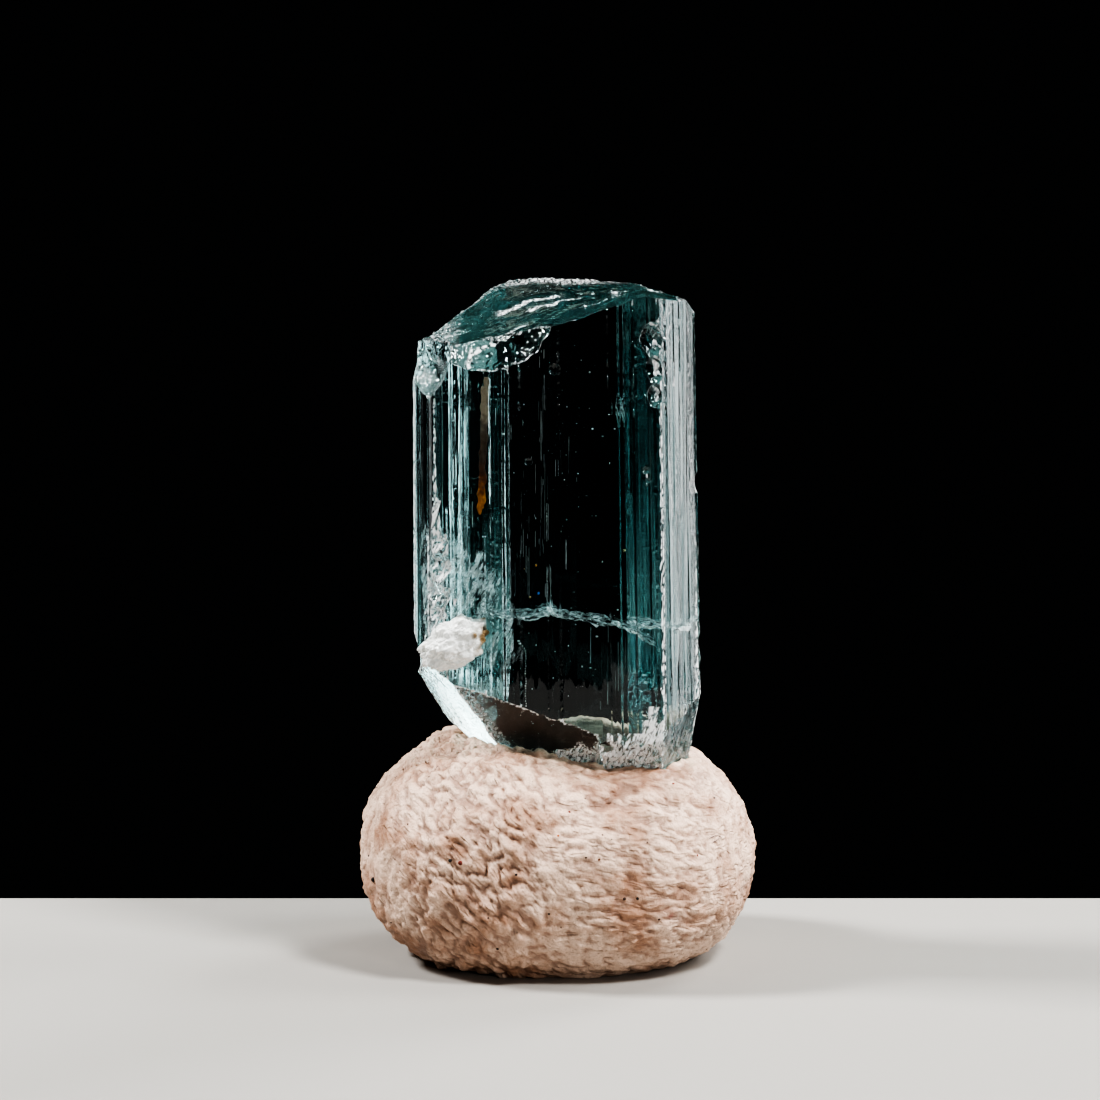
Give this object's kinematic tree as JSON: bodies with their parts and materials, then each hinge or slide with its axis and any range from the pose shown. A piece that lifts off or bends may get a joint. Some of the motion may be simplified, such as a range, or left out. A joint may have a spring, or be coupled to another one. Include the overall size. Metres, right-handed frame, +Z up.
{
  "type": "beryl crystal on a lump of mineral tack",
  "caption": "Teal see-through vanadium beryl crystal, a striated tabular prism broken at both ends, standing in a kneaded lump of pale mineral tack.",
  "frame": {"origin": "bottom centre of the whole specimen, on the surface that the tack stands on", "axes": "+Z up along the prism, -Y out of the prism's widest face, +X to the right of it"},
  "size_m": [0.0196, 0.0176, 0.034],
  "materials": {
    "beryl": "polished",
    "feldspar": "matte",
    "tack": "matte"
  },
  "bodies": {
    "root": {"beryl_crystal": "beryl", "feldspar_patch": "feldspar", "tack_lump": "tack"}
  },
  "joints": []
}
